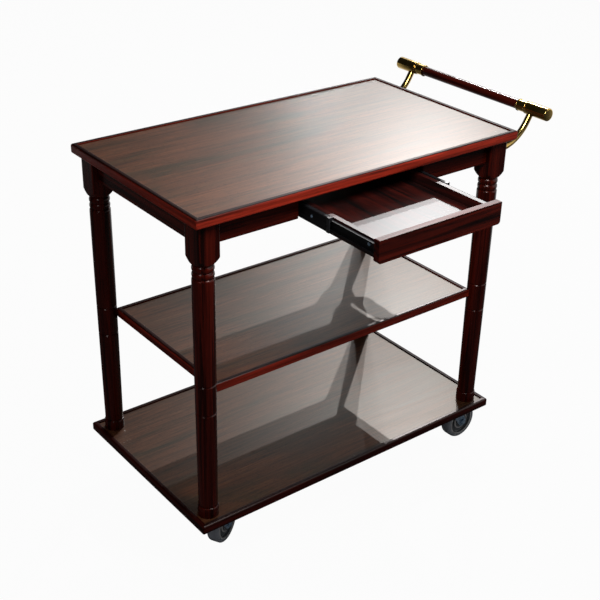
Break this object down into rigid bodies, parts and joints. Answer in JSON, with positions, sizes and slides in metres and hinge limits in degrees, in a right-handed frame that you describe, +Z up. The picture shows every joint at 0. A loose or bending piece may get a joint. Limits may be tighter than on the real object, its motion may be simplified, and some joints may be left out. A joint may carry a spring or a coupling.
{
  "type": "serving cart",
  "caption": "Wooden serving cart with turned legs, three lipped shelves, a drawer on telescopic slides, a brass-ended push bar and swivel casters.",
  "frame": {"origin": "bottom centre of the bounding box, on the floor under the wheels, with the drawer drawn out as pictured", "axes": "+X along the cart towards the push bar, -Y the way the drawer opens, +Z up"},
  "size_m": [0.898, 0.6556, 0.8195],
  "materials": {
    "mahogany": "dark red mahogany stain under gloss lacquer",
    "drawer_wood": "dark red mahogany stain under satin lacquer",
    "laminate": "semi-gloss wood-grain laminate, grain along the cart",
    "brass": "polished",
    "slide_steel": "black coated steel",
    "zinc_steel": "bright zinc plate",
    "wheel_rubber": "dark grey, matt"
  },
  "bodies": {
    "cart_frame": {"top_panel": "laminate", "top_edge_front": "mahogany", "top_edge_back": "mahogany", "top_edge_left": "mahogany", "top_edge_right": "mahogany", "mid_shelf_panel": "laminate", "mid_shelf_edge_front": "mahogany", "mid_shelf_edge_back": "mahogany", "mid_shelf_edge_left": "mahogany", "mid_shelf_edge_right": "mahogany", "bottom_shelf_panel": "laminate", "bottom_shelf_edge_front": "mahogany", "bottom_shelf_edge_back": "mahogany", "bottom_shelf_edge_left": "mahogany", "bottom_shelf_edge_right": "mahogany", "leg_front_left": "mahogany", "leg_front_right": "mahogany", "leg_back_left": "mahogany", "leg_back_right": "mahogany", "apron_front_left": "mahogany", "apron_front_right": "mahogany", "apron_left": "mahogany", "apron_right": "mahogany", "apron_back": "mahogany", "drawer_bearer_left": "mahogany", "drawer_bearer_right": "mahogany", "slide_cabinet_member_left": "slide_steel", "slide_cabinet_member_right": "slide_steel", "handle_grip": "mahogany", "handle_sleeve_front": "brass", "handle_sleeve_back": "brass", "handle_post_front": "brass", "handle_post_back": "brass", "caster_plate_front_left": "zinc_steel", "caster_plate_front_right": "zinc_steel", "caster_plate_back_left": "zinc_steel", "caster_plate_back_right": "zinc_steel"},
    "drawer": {"drawer_front": "mahogany", "drawer_side_left": "drawer_wood", "drawer_side_right": "drawer_wood", "drawer_back": "drawer_wood", "drawer_bottom": "drawer_wood", "slide_drawer_member_left": "slide_steel", "slide_drawer_member_right": "slide_steel"},
    "slide_middle": {"slide_middle_member_left": "slide_steel", "slide_middle_member_right": "slide_steel"},
    "fork_front_left": {"caster_fork_front_left": "zinc_steel", "caster_axle_front_left": "zinc_steel"},
    "fork_front_right": {"caster_fork_front_right": "zinc_steel", "caster_axle_front_right": "zinc_steel"},
    "fork_back_left": {"caster_fork_back_left": "zinc_steel", "caster_axle_back_left": "zinc_steel"},
    "fork_back_right": {"caster_fork_back_right": "zinc_steel", "caster_axle_back_right": "zinc_steel"},
    "wheel_front_left": {"caster_wheel_front_left": "wheel_rubber"},
    "wheel_front_right": {"caster_wheel_front_right": "wheel_rubber"},
    "wheel_back_left": {"caster_wheel_back_left": "wheel_rubber"},
    "wheel_back_right": {"caster_wheel_back_right": "wheel_rubber"}
  },
  "joints": [
    {"name": "drawer_slide", "type": "slide", "parent": "cart_frame", "child": "drawer", "axis": [0, -1, 0], "range_m": [-0.2205, 0.0795]},
    {"name": "middle_slide", "type": "slide", "parent": "cart_frame", "child": "slide_middle", "axis": [0, -1, 0], "range_m": [-0.0971, 0.0351]},
    {"name": "swivel_front_left", "type": "hinge", "parent": "cart_frame", "child": "fork_front_left", "pos_m": [-0.38498, -0.07368, 0.1015], "axis": [0, 0, 1], "continuous": true},
    {"name": "swivel_front_right", "type": "hinge", "parent": "cart_frame", "child": "fork_front_right", "pos_m": [0.28702, -0.07368, 0.1015], "axis": [0, 0, 1], "continuous": true},
    {"name": "swivel_back_left", "type": "hinge", "parent": "cart_frame", "child": "fork_back_left", "pos_m": [-0.38498, 0.26232, 0.1015], "axis": [0, 0, 1], "continuous": true},
    {"name": "swivel_back_right", "type": "hinge", "parent": "cart_frame", "child": "fork_back_right", "pos_m": [0.28702, 0.26232, 0.1015], "axis": [0, 0, 1], "continuous": true},
    {"name": "roll_front_left", "type": "hinge", "parent": "fork_front_left", "child": "wheel_front_left", "pos_m": [-0.35496, -0.05771, 0.0435], "axis": [-0.4695, 0.8829, 0], "continuous": true},
    {"name": "roll_front_right", "type": "hinge", "parent": "fork_front_right", "child": "wheel_front_right", "pos_m": [0.321, -0.07249, 0.0435], "axis": [-0.0349, 0.9994, 0], "continuous": true},
    {"name": "roll_back_left", "type": "hinge", "parent": "fork_back_left", "child": "wheel_back_left", "pos_m": [-0.35391, 0.27615, 0.0435], "axis": [-0.4067, 0.9135, 0], "continuous": true},
    {"name": "roll_back_right", "type": "hinge", "parent": "fork_back_right", "child": "wheel_back_right", "pos_m": [0.31954, 0.25238, 0.0435], "axis": [0.2924, 0.9563, 0], "continuous": true}
  ],
  "couplings": [
    {"joint": "middle_slide", "follows": "drawer_slide", "ratio": 0.44}
  ]
}
